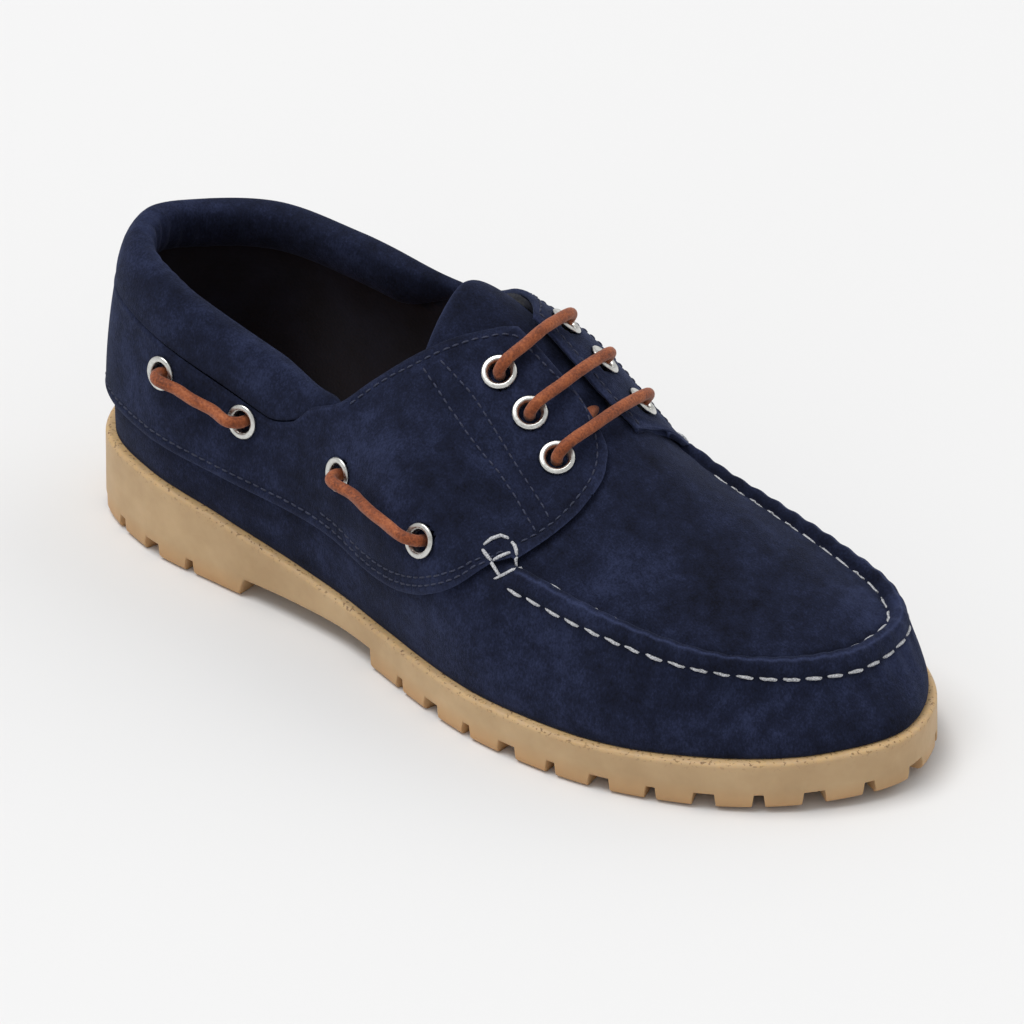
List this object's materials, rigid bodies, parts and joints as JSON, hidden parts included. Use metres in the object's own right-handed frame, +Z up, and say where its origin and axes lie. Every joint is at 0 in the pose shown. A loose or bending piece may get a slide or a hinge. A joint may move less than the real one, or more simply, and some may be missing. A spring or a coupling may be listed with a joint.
{
  "type": "boat shoe",
  "caption": "Low leather boat shoe with a hand-sewn raised toe seam, an eyelet throat, a side lace round the padded collar and a lugged rubber sole",
  "frame": {"origin": "On the floor under the middle of the bounding box, with the sole flat on z = 0.", "axes": "+X runs from the heel to the toe, +Y to the inner side of this right shoe, +Z up."},
  "size_m": [0.3042, 0.1144, 0.109],
  "materials": {
    "sole_rubber": "matte moulded crepe-coloured rubber",
    "insole_leather": "smooth tan leather",
    "navy_suede": "brushed suede with a short nap",
    "eyelet_metal": "satin rolled metal",
    "lace_leather": "round rawhide cord"
  },
  "bodies": {
    "root": {"outsole": "sole_rubber", "insole": "insole_leather", "upper": "navy_suede", "tongue": "navy_suede", "collar": "navy_suede", "quarter_outer": "navy_suede", "quarter_inner": "navy_suede", "eyelet_outer_1": "eyelet_metal", "eyelet_outer_2": "eyelet_metal", "eyelet_outer_3": "eyelet_metal", "eyelet_inner_1": "eyelet_metal", "eyelet_inner_2": "eyelet_metal", "eyelet_inner_3": "eyelet_metal", "side_eyelet_outer_1": "eyelet_metal", "side_eyelet_outer_2": "eyelet_metal", "side_eyelet_outer_3": "eyelet_metal", "side_eyelet_outer_4": "eyelet_metal", "side_eyelet_inner_1": "eyelet_metal", "side_eyelet_inner_2": "eyelet_metal", "side_eyelet_inner_3": "eyelet_metal", "side_eyelet_inner_4": "eyelet_metal", "lace_bar_1": "lace_leather", "lace_bar_2": "lace_leather", "lace_bar_3": "lace_leather", "side_lace_outer_1": "lace_leather", "side_lace_outer_2": "lace_leather", "side_lace_inner_1": "lace_leather", "side_lace_inner_2": "lace_leather"}
  },
  "joints": []
}
